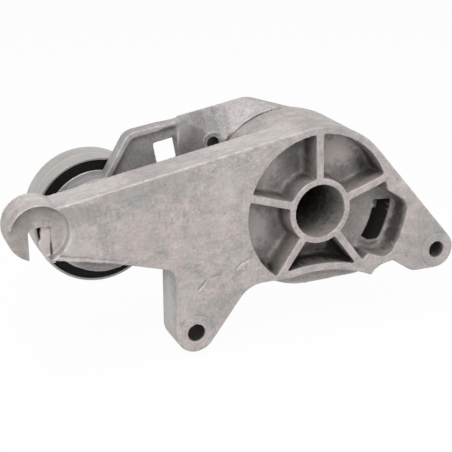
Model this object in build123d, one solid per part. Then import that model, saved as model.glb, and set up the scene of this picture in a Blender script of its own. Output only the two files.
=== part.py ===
from build123d import *
import math
import os

os.makedirs("parts", exist_ok=True)

# Belt tensioner: a die-cast bracket, a sprung arm on its spindle and a belt pulley.
# Millimetres. The pivot axis is Y through the origin, the mounting face is the plane y = 0,
# the engine is at negative y, and the arm and pulley lie at positive y. +Z is up.
# Depth means y. A radius is about the pivot axis unless it belongs to the pulley.

# Bracket: plate, ears and drum
plate_depth = 24.0
skin = 5.0
wall = 4.5
edge_round = 1.0
top_slope = 11.1
top_length = 149.0
drum_r = 50.5
drum_rear_r = 52.5
drum_rear = 48.0
cup_r = 46.5
floor_front = 16.0
floor_thick = 5.0
ear_r = 12.0
ear_hole_d = 10.5
lower_ear_x = -78.2
lower_ear_z = -63.9
side_ear_x = 83.4
side_ear_z = -35.5
rib_thick = 3.6
wing_under = (
    (66.4, -47.5, 9.0),
    (52.0, -38.3, 2.0),
    (44.0, -39.9, 6.0),
    (39.4, -42.6, 2.0),
    (34.6, -49.4, 0),
    (10.0, -49.4, 0),
)
skirt_left = -51.0
skirt_right = (36.0, -49.7)
plate_ribs = ((-122.0, 0), (-94.0, 0), (-66.0, -14))
foot_rib_z = -30.0

# Bracket: hub recess
recess_r = 45.9
bore_d = 32.0
bore_depth = 53.0

hub_ring_r = 19.6
spoke_count = 5
spoke_first = 20.0
spoke_width = 4.6
spoke_draft = 1.0
floor_round = 2.4
arch_x = -0.2
arch_top = -37.7
arch_r = 89.0
arch_wall = 4.9
arch_left = -36.0
arch_join = -18.0

# Bracket: stop pocket and its window
pocket_r = 60.0
pocket_corner = 4.5
pocket_low_corner = 8.0
opening_low = -29.0
opening_corner = 3.0
window_inner_r = 45.6
window_outer_r = 58.0
window_top = -3.5
window_span = 30.5
chamber_wall = 4.5

# Bracket: hook with its bolt seat
hook_x = -164.3
hook_z = 7.2
seat_r = 15.5
seat_depth = 9.0
lip = 1.1
slot_width = 12.0
slot_middle = 0.8
slot_top = 2.1
seat_relief = 5.5

# Spindle and what it carries
spindle_r = 19.0
spindle_shoulder = 59.0
shoulder_r = 24.0
nose_r = 11.0
nose_head_r = 13.2
nose_head = 3.0
run_gap = 0.05
bush_wall = 2.0
bush_front = 26.0
bush_flange_r = 26.0
bush_flange = 1.5
friction_thick = 1.5
thrust_thick = 3.0
thrust_r = 25.0
cap_thick = 1.5
cap_rim = 3.5
cap_wall = 1.4

# Spring and damper
wire_d = 6.5
wire_sides = 12
spring_r = 33.2
spring_turns = 3.5
spring_pitch = 7.4
seat_ring = 3.0
shoe_front = 38.0
shoe_back = 55.0
shoe_wall = 3.6
shoe_gap = 0.2
shoe_opening = 24.0
band_wall = 1.0

# Arm
seam_gap = 0.6
arm_back = 66.0
cap_r = 52.3
cap_rear_r = 50.4
cap_bore_r = 46.7
cap_end = 5.0
beam_front = 34.0
beam_back = 43.6
beam_rim = 3.4
beam_top = 61.2
slope_start = 53.5
slope_fall = 0.30
slope_round = 14.0
shoulder_x = -75.5
shoulder_rear_x = -64.0
shoulder_step = 1.0
shoulder_end_x = -55.3
hub_flare = 9.0
pocket_top = 40.0
shoulder_ribs = (-1.0, 22.0)
scoop_left = -73.0
scoop_top = 67.5
scoop_lug = (-51.8, 43.4)
scoop_low_x = -43.0
scoop_low = 39.6
scoop_rise = 1.2
scoop_lip = 0.8
web_thick = 4.6
arm_disc_r = 27.8
drum_clear = 1.6
drive_square = 12.9
drive_x = -81.4
drive_z = 35.2
drive_turn = 10.6
lug_x = -48.7
lug_z = 34.9
lug_r = 6.6
lug_hole_d = 7.6
lug_front = 47.0
tang_span = 9.4
tang_inner_r = 47.4
tang_outer_r = 56.4
tang_front = 28.0
stop_clear = 0.3

# Pulley
pulley_x = -121.5
pulley_z = -3.5
pulley_r = 37.5
pulley_front = 45.0
pulley_width = 27.5
rim_wall = 2.4
rim_step = 0.35
pulley_web = 4.0
hub_wall = 3.4
bolt_d = 10.0
bolt_head_af = 15.0
bolt_head = 4.8
bolt_flange = 1.6
bolt_flange_r = 10.6
sleeve_step_r = 11.0
boss_r = 13.0

# Pulley bearing
race_outer_r = 20.0
race_inner_r = 8.5
race_width = 12.0
ball_d = 6.75
ball_count = 8
ball_circle_r = 14.25
land_outer_r = 17.0
land_inner_r = 11.5
ball_clear = 0.04
seal_thick = 1.2
seal_step_r = 18.2
shield_thick = 1.4
shield_gap = 0.6
hub_rise = 4.0
cover_clear = 0.5
cover_wall = 1.3

# Worked out from the sizes above
arch_z = arch_top - arch_r
floor_back = floor_front + floor_thick
pulley_back = pulley_front + pulley_width
bearing_middle = pulley_front + pulley_width / 2 - 0.75
bearing_front = bearing_middle - race_width / 2
bearing_back = bearing_middle + race_width / 2
hub_back = bearing_back + hub_rise
bolt_back = bearing_back + bolt_flange + bolt_head
cover_back = bolt_back + cover_clear + cover_wall
arm_hub_r = spindle_r + run_gap + bush_wall
seam = drum_rear + seam_gap
web_front = beam_back - web_thick
flange_front = bush_front - bush_flange
thrust_front = spindle_shoulder
thrust_back = thrust_front + thrust_thick
nose_back = thrust_back + nose_head
counterbore_r = thrust_r + 2.0
counterbore_front = thrust_front - friction_thick
tang_top = window_top - stop_clear
rim_r = pulley_r - rim_wall


def polar(radius, angle):
    """Point in X and Z at an angle from +X towards +Z, seen from the mounting side."""
    turn = math.radians(angle)
    return (radius * math.cos(turn), radius * math.sin(turn))


def slab(face, front, back):
    """Extrude a face drawn in X and Z between two depths."""
    return extrude(Plane.XZ.offset(-front) * face, amount=front - back)


def outline(*corners):
    """Closed face from (x, z, corner radius) rows."""
    points = [(x, z) for x, z, _ in corners]
    radii = [radius for _, _, radius in corners]
    return make_face(FilletPolyline(*points, radius=radii, close=True))


def turned(*points):
    """Revolve a closed outline of (radius, depth) points about the pivot axis."""
    return revolve(make_face(Polyline(*points, close=True)), Axis.Y)


def tube(inner, outer, front, back):
    """Straight ring about the pivot axis."""
    return slab(Circle(outer) - Circle(inner), front, back)


def spun(solid, angle):
    """Turn a solid about the pivot axis, from +X towards +Z."""
    return Rot(0, -angle, 0) * solid


def wedge(reach, low, high):
    """Triangle from the pivot axis that covers the angles from low to high."""
    return make_face(Polyline((0, 0), polar(reach, low), polar(reach, high), close=True))


def disc(x, z, radius):
    return Pos(x, z) * Circle(radius)


def tangent_points(x, z, radius):
    """Where the upper line that touches the drum and a circle meets each of them."""
    distance = math.hypot(x, z)
    lean = math.degrees(math.atan2(z, x) + math.acos((drum_r - radius) / distance))
    on_drum = polar(drum_r, lean)
    step = polar(radius, lean)
    return on_drum, (x + step[0], z + step[1])


def top_line():
    """Start and end of the plate's top edge, which touches the drum."""
    start = polar(drum_r, 90 + top_slope)
    step = polar(top_length, 180 + top_slope)
    return start, (start[0] + step[0], start[1] + step[1])


slot_right = hook_x + slot_middle + slot_width / 2
slot_left = slot_right - slot_width
flank_x = lower_ear_x - ear_r
under_edge = -39.5
foot_slope = 53.3


def plate_face():
    start, end = top_line()
    flank = polar(ear_r, foot_slope - 90)
    right_flank = (lower_ear_x + flank[0], lower_ear_z + flank[1])
    rise = under_edge - right_flank[1]
    corner_x = right_flank[0] + rise / math.tan(math.radians(foot_slope))
    body = outline(
        (0, 0, 0),
        (*start, 0),
        (*end, 0),
        (slot_right, end[1], 0),
        (slot_right, -11.4, 2.0),
        (slot_right + 14, -10.8, 12.0),
        (slot_right + 28, -13.4, 30.0),
        (flank_x, -24.0, 6.0),
        (flank_x, lower_ear_z, 0),
        (lower_ear_x, lower_ear_z, 0),
        (*right_flank, 0),
        (corner_x, under_edge, 18.0),
        (-20.0, under_edge, 0),
    )
    return body + disc(lower_ear_x, lower_ear_z, ear_r)


def wing_face():
    on_drum, on_ear = tangent_points(side_ear_x, side_ear_z, ear_r)
    body = outline(
        (0, 0, 0),
        (*on_drum, 0),
        (*on_ear, 0),
        (side_ear_x, side_ear_z, 0),
        (side_ear_x, side_ear_z - ear_r, 0),
        *wing_under,
    )
    return body + disc(side_ear_x, side_ear_z, ear_r)


def below_arch(radius):
    """What lies under the arched lower wall of the recess."""
    right = Pos(arch_left + radius, arch_z) * Rectangle(2 * radius, 2 * radius + 1)
    middle = (arch_left + arch_join) / 2
    under = Pos(middle, (arch_z + under_edge) / 2) * Rectangle(
        arch_join - arch_left, under_edge - arch_z
    )
    return (disc(arch_x, arch_z, radius) & right) + under


def bracket_face():
    whole = Circle(drum_r) + plate_face() + wing_face()
    return whole - below_arch(arch_r)


def pocket_face():
    reach = Circle(pocket_r) & outline(
        (36.0, 12.0, 0),
        (45.3, 7.9, 0),
        (60.8, -2.2, 0),
        (75.0, -15.0, 0),
        (62.0, -41.5, 0),
        (34.0, -31.0, 0),
    )
    far = reach.vertices().filter_by(lambda v: math.hypot(v.X, v.Y) > pocket_r - 1)
    reach = fillet(far.sort_by(Axis.Y)[-1:], pocket_corner)
    far = reach.vertices().filter_by(lambda v: math.hypot(v.X, v.Y) > pocket_r - 1)
    return fillet(far.sort_by(Axis.Y)[:1], pocket_low_corner)


def spoke():
    half = spoke_width / 2
    root = half + spoke_draft
    section = make_face(
        Polyline((0, -half), (0, half), (floor_front, root), (floor_front, -root), close=True)
    )
    return extrude(Plane.YZ.offset(hub_ring_r - 2) * section, amount=drum_r - hub_ring_r + 1)


def recess_cutter():
    """The five hollows round the hub, with their floors rounded."""
    face = Circle(recess_r) + pocket_face()
    face -= disc(arch_x, arch_z, arch_r + arch_wall)
    hollow = slab(face, 0, floor_front)
    ring = turned(
        (0, 0), (hub_ring_r, 0), (hub_ring_r + spoke_draft, floor_front), (0, floor_front)
    )
    hollow -= ring
    for number in range(spoke_count):
        hollow -= spun(spoke(), spoke_first + number * 360 / spoke_count)
    sharp = hollow.edges().filter_by_position(Axis.Y, floor_front - 0.01, floor_front + 0.01)
    return fillet(sharp, floor_round)


def window_face():
    ring = Circle(window_outer_r) - Circle(window_inner_r)
    return ring & wedge(90, window_top - window_span, window_top)


def opening_face():
    """The part of the window that goes through the pocket's floor."""
    face = window_face() & (Pos(window_outer_r, opening_low + 40) * Rectangle(60, 80))
    return fillet(face.vertices().sort_by(Axis.Y)[:2], opening_corner)


def skirt_face():
    """Flat underside of the drum, between its lowest point and the stop chamber."""
    low = polar(window_outer_r + chamber_wall, window_top - window_span - 8)
    return outline((0, skirt_left, 0), (*skirt_right, 0), (*low, 0), (0, 0, 0))


def chamber_face():
    """Wall of the stop chamber, which bulges from the drum."""
    spare = 7.0
    ring = Circle(window_outer_r + chamber_wall) - Circle(cup_r - 1)
    return ring & wedge(95, window_top - window_span - spare, window_top + spare)


def rear_pockets():
    """Hollows behind the skin of the plate and of the wing, with ribs left between them."""
    inner = offset(bracket_face(), amount=-wall)
    keep = Circle(drum_rear_r + 0.5) + disc(lower_ear_x, lower_ear_z, ear_r)
    keep += disc(side_ear_x, side_ear_z, ear_r)
    keep += Pos(hook_x, hook_z) * Rectangle(2 * seat_r + 5, 80)
    keep += Rot(0, 0, window_top - window_span / 2) * Pos(50, 0) * Rectangle(34, 48)
    for x, lean in plate_ribs:
        keep += Pos(x, 6) * Rot(0, 0, lean) * Rectangle(rib_thick, 70)
    keep += Pos(lower_ear_x, foot_rib_z) * Rectangle(80, rib_thick)
    pockets = inner - keep
    big = [face for face in pockets.faces() if face.area > 60]
    return [slab(face, skin, plate_depth + 1) for face in big]


def bracket_casting():
    body = slab(bracket_face(), 0, plate_depth)
    front = body.edges().filter_by_position(Axis.Y, -0.01, 0.01)
    body = fillet(front, edge_round)
    for pocket in rear_pockets():
        body -= pocket
    body += turned(
        (0, floor_front), (drum_r + 0.5, floor_front), (drum_rear_r, drum_rear), (0, drum_rear)
    )
    body += slab(chamber_face() + skirt_face(), floor_front, drum_rear)
    body += hook()
    body -= hook_cutter()
    body -= recess_cutter()
    body -= tube(spindle_r, cup_r, floor_back, drum_rear + 1)
    body -= slab(opening_face(), floor_front - 2, floor_back + 1)
    body -= slab(window_face(), floor_back, drum_rear + 1)
    body += turned(
        (0, floor_back),
        (shoulder_r, floor_back),
        (shoulder_r, flange_front - run_gap),
        (spindle_r, flange_front - run_gap),
        (spindle_r, spindle_shoulder),
        (nose_r, spindle_shoulder),
        (nose_r, thrust_back + run_gap),
        (nose_head_r, thrust_back + run_gap),
        (nose_head_r - 1.2, nose_back),
        (0, nose_back),
    )

    body -= slab(Circle(bore_d / 2), -1, bore_depth)
    for x, z in ((lower_ear_x, lower_ear_z), (side_ear_x, side_ear_z)):
        body -= slab(disc(x, z, ear_hole_d / 2), -1, plate_depth + 1)
    return body


def hook():
    """Hook round the slot, with its floor behind the bolt seat."""
    return slab(disc(hook_x, hook_z, seat_r + lip), 0, plate_depth)


def hook_cutter():
    """Bolt seat, open slot and the parts of the lip that the hook lacks."""
    seat = disc(hook_x, hook_z, seat_r)
    seat += Pos(slot_right - 7 + seat_relief, -12) * Rectangle(14, 20)
    seat += Pos(hook_x - 15, hook_z - 16) * Rectangle(30, 40)
    slot = outline(
        (slot_left, -14, 0),
        (slot_left, hook_z + slot_top, 3.0),
        (slot_right, hook_z + slot_top, 1.0),
        (slot_right, -30, 0),
        (slot_left - 6, -30, 0),
    )
    return slab(seat, -1, seat_depth) + slab(slot, -1, plate_depth + 1)


def arm_face():
    """Outline of the arm's beam, from the drum's cap to the pulley's end."""
    body = outline(
        (0, 0, 0),
        (14.0, 48.0, 0),
        (-30.2, beam_top, 0),
        (-105.2, 48.5, 9.5),
        (-126.0, 13.5, 0),
        (pulley_x, pulley_z, 0),
        (pulley_x + 8, pulley_z - 27.0, 0),
        (-88.0, -21.0, 14.0),
        (-46.0, -27.0, 0),
    )
    return body + disc(pulley_x, pulley_z, arm_disc_r)


def arm_recess():
    """Hollow in the front of the beam, left of the shoulder, with one rib across it."""
    face = offset(arm_face(), amount=-beam_rim)
    face &= Pos(shoulder_x - 60, 0) * Rectangle(120, 140)
    face -= disc(pulley_x, pulley_z, boss_r + 2)
    tilt = math.degrees(math.atan2(pulley_z, pulley_x))
    face -= Rot(0, 0, tilt) * Pos(100, 0) * Rectangle(60, rib_thick)
    big = [part for part in face.faces() if part.area > 60]
    return [slab(part, beam_front - 1, web_front) for part in big]


def arm_scoop():
    """Hollow that rises to the rear from the rim over the pin lug and the drum."""
    front = outline(
        (scoop_left, beam_top + 30, 0),
        (scoop_left, scoop_top, 0),
        (*scoop_lug, 5.0),
        (scoop_low_x, scoop_low, 4.0),
        (0, scoop_low, 0),
        (20.0, beam_top + 30, 0),
    )
    front -= Circle(cap_r + scoop_lip)
    reach = seam - beam_front + 8
    depth = arm_back + 4 - seam + reach
    start = Pos(0, seam - reach, -reach * scoop_rise) * (Plane.XZ * front)
    length = math.hypot(depth, depth * scoop_rise)
    return extrude(start, amount=length, dir=(0, 1, scoop_rise))


def shoulder_front():
    """Cut that slopes the shoulder's front from the recess back to the pin lug."""
    face = make_face(
        Polyline(
            (shoulder_x, beam_front - 1),
            (shoulder_x, beam_front + shoulder_step),
            (shoulder_end_x, lug_front - 0.5),
            (cap_r, lug_front - 0.5),
            (cap_r, beam_front - 1),
            close=True,
        )
    )
    return Pos(0, 0, -100) * extrude(face, amount=200)


def shoulder_rear():
    """Cut that leans the shoulder's left wall, so that the square hole is clear behind."""
    face = make_face(
        Polyline(
            (shoulder_x - 5, beam_back),
            (drive_x + drive_square * 0.63, beam_back),
            (shoulder_rear_x, arm_back + 1),
            (shoulder_x - 5, arm_back + 1),
            close=True,
        )
    )
    return Pos(0, 0, -100) * extrude(face, amount=200)


def arm_slope():
    """Cut that lets the top of the shoulder fall away towards the rear."""
    reach = arm_back - beam_back + 4
    profile = make_face(
        Polyline(
            (beam_back, 0),
            (beam_back + reach, -reach * slope_fall),
            (beam_back + reach, 40),
            (beam_back, 40),
            close=True,
        )
    )
    cut = Pos(-20, 0, 0) * extrude(Plane.YZ * profile, amount=120)
    return Pos(shoulder_x, 0, slope_start) * spun(cut, top_slope)


def shoulder_pockets():
    """Hollows in the rear of the shoulder, with ribs left between them."""
    face = offset(arm_face(), amount=-wall)
    face &= Pos(shoulder_rear_x + wall + 30, pocket_top - 60) * Rectangle(60, 120)
    keep = Circle(cap_r + wall) + disc(lug_x, lug_z, lug_r + 1)
    keep += disc(pulley_x, pulley_z, pulley_r + 2 + wall)
    for level in shoulder_ribs:
        keep += Pos(shoulder_x, level) * Rectangle(90, rib_thick)
    big = [part for part in (face - keep).faces() if part.area > 40]
    return [slab(part, lug_front + wall, arm_back + 1) for part in big]


def arm_beam():
    clear = Circle(drum_rear_r + drum_clear)
    beam = slab(arm_face() - clear, beam_front, beam_back)
    for pocket in arm_recess():
        beam -= pocket
    right = Pos(shoulder_x + 60, 15) * Rectangle(120, 110)
    shoulder = slab(arm_face() & right, beam_front, arm_back)
    shoulder -= arm_slope()
    across = shoulder.edges().filter_by(lambda edge: abs((edge % 0.5).Y) > 0.8)
    shoulder = fillet(across.sort_by(Axis.Z)[-2:], slope_round)
    shoulder -= shoulder_rear()
    shoulder -= slab(clear, beam_front - 1, seam)
    shoulder -= slab(Circle(cap_bore_r + 1), seam - 1, arm_back + 1)
    shoulder -= slab(disc(pulley_x, pulley_z, pulley_r + 2), beam_back, arm_back + 1)
    for pocket in shoulder_pockets():
        shoulder -= pocket
    return beam + shoulder - shoulder_front() - arm_scoop()


def arm_cap():
    flare = arm_hub_r + hub_flare
    return turned(
        (arm_hub_r, bush_front),
        (bush_flange_r, bush_front),
        (bush_flange_r, counterbore_front - 8),
        (flare, counterbore_front),
        (flare, arm_back - cap_end),
        (cap_bore_r, arm_back - cap_end),
        (cap_bore_r, seam),
        (cap_r, seam),
        (cap_rear_r, arm_back - 2.5),
        (cap_rear_r - 2.5, arm_back),
        (counterbore_r, arm_back),
        (counterbore_r, counterbore_front),
        (arm_hub_r, counterbore_front),
    )


def arm_casting():
    body = arm_cap() + arm_beam()
    body += slab(disc(lug_x, lug_z, lug_r), lug_front, lug_front + wall + 6)
    body += slab(disc(pulley_x, pulley_z, boss_r), beam_back, pulley_front + 2)
    ring = Circle(tang_outer_r) - Circle(tang_inner_r)
    body += slab(ring & wedge(90, tang_top - tang_span, tang_top), tang_front, arm_back)
    square = Pos(drive_x, drive_z) * Rot(0, 0, drive_turn) * Rectangle(drive_square, drive_square)
    body -= slab(square, beam_front - 1, beam_back + 1)
    body -= slab(disc(lug_x, lug_z, lug_hole_d / 2), lug_front - 1, arm_back + 1)
    bolt_hole = disc(pulley_x, pulley_z, bolt_d / 2)
    return body - slab(bolt_hole, beam_front - 1, pulley_front + 3)


def pivot_bush():
    return turned(
        (spindle_r + run_gap, flange_front),
        (bush_flange_r, flange_front),
        (bush_flange_r, bush_front),
        (arm_hub_r, bush_front),
        (arm_hub_r, counterbore_front - 0.5),
        (spindle_r + run_gap, counterbore_front - 0.5),
    )


def friction_washer():
    return tube(spindle_r + 0.3, thrust_r, counterbore_front, thrust_front - run_gap)


def thrust_plate():
    plate = slab(Circle(thrust_r) - Circle(nose_r), thrust_front, thrust_back)
    rim = plate.edges().filter_by_position(Axis.Y, thrust_back - 0.01, thrust_back + 0.01)
    return chamfer(rim.sort_by(SortBy.LENGTH)[-1:], 0.6)


def hub_dust_cap():
    back = arm_back + 1.0
    cap = turned(
        (0, back - cap_thick),
        (counterbore_r - cap_wall, back - cap_thick),
        (counterbore_r - cap_wall, back - cap_rim),
        (counterbore_r, back - cap_rim),
        (counterbore_r, back - 0.6),
        (counterbore_r - 0.6, back),
        (0, back),
    )
    return cap


def spring_seat():
    low = floor_back
    inner = spring_r - wire_d
    outer = spring_r + wire_d
    return turned(
        (inner + 1.0, low),
        (outer, low),
        (outer, low + seat_ring + 3.0),
        (outer - 2.0, low + seat_ring + 3.0),
        (outer - 2.0, low + seat_ring),
        (inner + 1.0, low + seat_ring),
    )


def torsion_spring():
    rise = spring_pitch * spring_turns
    first = floor_back + seat_ring + wire_d / 2
    path = Helix(spring_pitch, rise, spring_r, center=(0, first, 0), direction=(0, 1, 0))
    section = RegularPolygon(wire_d / 2, wire_sides)
    return sweep(Plane(path @ 0, z_dir=path % 0) * section, path=path)


def damping_ring():
    outer = cup_r - shoe_gap
    ring = tube(outer - shoe_wall, outer, shoe_front, shoe_back)
    return ring - slab(wedge(90, 180 - shoe_opening, 180 + shoe_opening), shoe_front, shoe_back)


def damper_band():
    outer = cup_r - shoe_gap - shoe_wall
    ring = tube(outer - band_wall, outer, shoe_front + 2, shoe_back - 2)
    spare = shoe_opening + 4
    return ring - slab(wedge(90, 180 - spare, 180 + spare), shoe_front, shoe_back)


def at_pulley(solid):
    return Pos(pulley_x, 0, pulley_z) * solid


def pulley_shell():
    front, back = pulley_front, pulley_back
    inner = rim_r
    web_low = bearing_middle - pulley_web / 2
    web_high = bearing_middle + pulley_web / 2
    ridge = bearing_middle
    hub_r = race_outer_r + hub_wall
    shell = turned(
        (race_outer_r, bearing_front - 1.0),
        (hub_r, bearing_front - 1.0),
        (hub_r, web_low),
        (inner, web_low),
        (inner, front),
        (pulley_r - rim_step - 0.5, front),
        (pulley_r - rim_step, front + 0.5),
        (pulley_r - rim_step, ridge),
        (pulley_r, ridge + 0.6),
        (pulley_r, back - 0.5),
        (pulley_r - 0.5, back),
        (inner, back),
        (inner, web_high),
        (hub_r, web_high),
        (hub_r, hub_back),
        (race_outer_r, hub_back),
    )
    return at_pulley(shell)


def pulley_dust_shield():
    front = pulley_front + 2
    edge = rim_r - shield_gap
    shield = turned(
        (bolt_d / 2 + run_gap, front),
        (edge, front),
        (edge, front + shield_thick + 1.0),
        (edge - 1.2, front + shield_thick + 1.0),
        (edge - 1.2, front + shield_thick),
        (bolt_d / 2 + run_gap, front + shield_thick),
    )
    return at_pulley(shield)


def race(inner, outer):
    return tube(inner, outer, bearing_front, bearing_back)


def ball_groove():
    ring = Pos(ball_circle_r, bearing_middle) * Circle(ball_d / 2 + ball_clear)
    return revolve(ring, Axis.Y)


def bearing_outer_ring():
    seat = seal_thick + 0.3
    ring = race(land_outer_r, race_outer_r) - ball_groove()
    ring -= tube(land_outer_r - 1, seal_step_r, bearing_front - 1, bearing_front + seat)
    ring -= tube(land_outer_r - 1, seal_step_r, bearing_back - seat, bearing_back + 1)
    return at_pulley(ring)


def bearing_inner_ring():
    return at_pulley(race(race_inner_r, land_inner_r) - ball_groove())


def ball_turns():
    return [number * 360 / ball_count for number in range(ball_count)]


def bearing_balls():
    ball = Pos(ball_circle_r, bearing_middle, 0) * Sphere(ball_d / 2)
    return Compound(children=[at_pulley(spun(ball, turn)) for turn in ball_turns()])


def bearing_cage():
    half = ball_d / 2 + 0.75
    ring = tube(
        ball_circle_r - 1.3, ball_circle_r + 1.3, bearing_middle - half, bearing_middle + half
    )
    pocket = Rot(0, 90, 0) * Cylinder(ball_d / 2 + 2.5 * ball_clear, 6)
    pocket = Pos(ball_circle_r, bearing_middle, 0) * pocket
    for turn in ball_turns():
        ring -= spun(pocket, turn)
    return at_pulley(ring)


def bearing_seal(front):
    return at_pulley(tube(land_inner_r + 0.25, seal_step_r, front, front + seal_thick))


def pulley_sleeve():
    bore = bolt_d / 2 + run_gap
    front = pulley_front + 2 + shield_thick
    return at_pulley(
        turned(
            (bore, front),
            (sleeve_step_r, front),
            (sleeve_step_r, bearing_front),
            (race_inner_r, bearing_front),
            (race_inner_r, bearing_back - 0.2),
            (bore, bearing_back - 0.2),
        )
    )


def pulley_bolt():
    shank = bolt_d / 2
    head_front = bearing_back + bolt_flange
    body = turned(
        (0, beam_front + 1.0),
        (shank - 1, beam_front + 1.0),
        (shank, beam_front + 2.0),
        (shank, bearing_back),
        (bolt_flange_r, bearing_back),
        (bolt_flange_r, bearing_back + 0.8),
        (bolt_head_af / 2 + 0.6, head_front),
        (0, head_front),
    )
    hexagon = RegularPolygon(bolt_head_af / 2, 6, major_radius=False)
    return at_pulley(body + slab(hexagon, head_front, head_front + bolt_head))


def pulley_dust_cap():
    outer = race_outer_r
    wall_in = outer - cover_wall
    dome = cover_back - cover_wall
    return at_pulley(
        turned(
            (wall_in, bearing_back),
            (outer, bearing_back),
            (outer, hub_back - 0.4),
            (outer - 3.2, cover_back - 1.0),
            (outer - 4.4, cover_back),
            (0, cover_back),
            (0, dome),
            (outer - 5.0, dome),
            (wall_in, hub_back - 1.2),
        )
    )


pieces = {
    "bracket_casting": bracket_casting(),
    "arm_casting": arm_casting(),
    "pulley_shell": pulley_shell(),
    "pulley_dust_shield": pulley_dust_shield(),
    "torsion_spring": torsion_spring(),
    "spring_seat": spring_seat(),
    "pivot_bush": pivot_bush(),
    "friction_washer": friction_washer(),
    "thrust_plate": thrust_plate(),
    "damping_ring": damping_ring(),
    "damper_band": damper_band(),
    "hub_dust_cap": hub_dust_cap(),
    "bearing_outer_ring": bearing_outer_ring(),
    "bearing_inner_ring": bearing_inner_ring(),
    "bearing_balls": bearing_balls(),
    "bearing_cage": bearing_cage(),
    "bearing_seal_front": bearing_seal(bearing_front + 0.3),
    "bearing_seal_rear": bearing_seal(bearing_back - 0.3 - seal_thick),
    "pulley_sleeve": pulley_sleeve(),
    "pulley_bolt": pulley_bolt(),
    "pulley_dust_cap": pulley_dust_cap(),
}

for name, solid in pieces.items():
    export_step(solid, f"parts/{name}.step")
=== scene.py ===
import math

import bmesh
import bpy
import numpy as np
from mathutils import Matrix, Vector
from mathutils.bvhtree import BVHTree
from mathutils.kdtree import KDTree


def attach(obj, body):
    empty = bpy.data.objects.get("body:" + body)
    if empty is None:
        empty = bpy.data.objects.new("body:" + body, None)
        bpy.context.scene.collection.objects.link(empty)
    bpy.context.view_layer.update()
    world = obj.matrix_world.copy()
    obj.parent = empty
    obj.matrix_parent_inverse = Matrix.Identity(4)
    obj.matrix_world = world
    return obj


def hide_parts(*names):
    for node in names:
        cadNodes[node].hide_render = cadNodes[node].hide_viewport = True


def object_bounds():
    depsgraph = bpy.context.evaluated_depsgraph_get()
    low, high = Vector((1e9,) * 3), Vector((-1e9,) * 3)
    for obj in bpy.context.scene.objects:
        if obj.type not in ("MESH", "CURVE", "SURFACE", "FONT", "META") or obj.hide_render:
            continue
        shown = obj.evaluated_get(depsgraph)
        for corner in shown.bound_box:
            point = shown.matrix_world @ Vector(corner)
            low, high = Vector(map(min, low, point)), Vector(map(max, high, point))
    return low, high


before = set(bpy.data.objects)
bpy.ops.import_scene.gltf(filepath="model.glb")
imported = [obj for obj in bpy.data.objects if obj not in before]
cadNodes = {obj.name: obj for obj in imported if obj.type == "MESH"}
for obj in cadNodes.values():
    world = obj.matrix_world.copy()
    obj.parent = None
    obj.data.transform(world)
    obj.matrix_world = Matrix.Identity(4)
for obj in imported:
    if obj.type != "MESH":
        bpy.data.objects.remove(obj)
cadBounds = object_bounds()
print("frame loaded:", len(cadNodes), "nodes")

mm = 0.001
weldGap = 0.001 * mm  # corners nearer to each other than this are one

# Camera and studio
view = {
    "azimuth": -22.76,
    "elevation": 18.71,
    "place": (-255.4 * mm, -465.7 * mm, 169.9 * mm),
    "lens": 75.66,
    "sensor": 36,
}

studio = {
    "floorDrop": 3 * mm,
    "floorSize": 6.0,
    "floorColour": (0.86, 0.86, 0.86, 1),
    "floorRough": 0.9,
    "floorWhite": 0.96,
    "worldLight": 0.32,
    "lamps": {
        "keyLamp": {"place": (-0.55, -0.95, 0.95), "size": 1.1, "power": 13.8},
        "topLamp": {"place": (-0.2, -0.15, 1.4), "size": 1.0, "power": 6.5},
        "fillLamp": {"place": (0.9, -0.8, 0.25), "size": 0.9, "power": 1.6},
    },
}


# Short forms for the node trees below; a value may be a number, a colour or a socket
def addNode(tree, kind, **settings):
    item = tree.nodes.new(kind)
    for name, value in settings.items():
        if name.startswith("in_"):
            item.inputs[name.removeprefix("in_")].default_value = value
        else:
            setattr(item, name, value)
    return item


def join(tree, start, end):
    tree.links.new(start, end)


def give(tree, socket, value):
    if hasattr(value, "is_output"):
        join(tree, value, socket)
    else:
        socket.default_value = value


def feed(tree, item, *values):
    # gives a node's first inputs their values in order
    for socket, value in zip(item.inputs, values):
        give(tree, socket, value)
    return item.outputs[0]


def calc(tree, operation, *values, clamp=False):
    item = addNode(tree, "ShaderNodeMath", operation=operation, use_clamp=clamp)
    return feed(tree, item, *values)


def plus(tree, first, *others):
    for other in others:
        first = calc(tree, "ADD", first, other)
    return first


def times(tree, first, *others, clamp=False):
    for other in others:
        first = calc(tree, "MULTIPLY", first, other, clamp=clamp)
    return first


def weighted(tree, *pairs):
    # sum of values, each times its own weight
    total = 0.0
    for value, weight in pairs:
        total = calc(tree, "MULTIPLY_ADD", value, weight, total)
    return total


def remap(tree, value, low, high, atLow=0.0, atHigh=1.0, smooth=False):
    kind = "SMOOTHSTEP" if smooth else "LINEAR"
    item = addNode(tree, "ShaderNodeMapRange", interpolation_type=kind)
    return feed(tree, item, value, low, high, atLow, atHigh)


noiseSpan = (0.3, 0.7)  # nearly all of a noise lies between these


def swing(tree, noise, low, high):
    return remap(tree, noise, *noiseSpan, low, high)


def mixColour(tree, factor, first, second, mode="MIX"):
    # the node has sockets for each kind of value: 6 and 7 take its colours, and 2 puts one out
    item = addNode(tree, "ShaderNodeMix", data_type="RGBA", blend_type=mode)
    for index, value in ((0, factor), (6, first), (7, second)):
        give(tree, item.inputs[index], value)
    return item.outputs[2]


def cloud(tree, place, scale, detail, rough, stretch=None, turn=(0, 0, 0)):
    if stretch:
        mapping = addNode(tree, "ShaderNodeMapping", in_Scale=stretch, in_Rotation=turn)
        place = feed(tree, mapping, place)
    item = addNode(tree, "ShaderNodeTexNoise", in_Scale=scale, in_Detail=detail, in_Roughness=rough)
    join(tree, place, item.inputs["Vector"])
    return item.outputs["Fac"]


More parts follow.
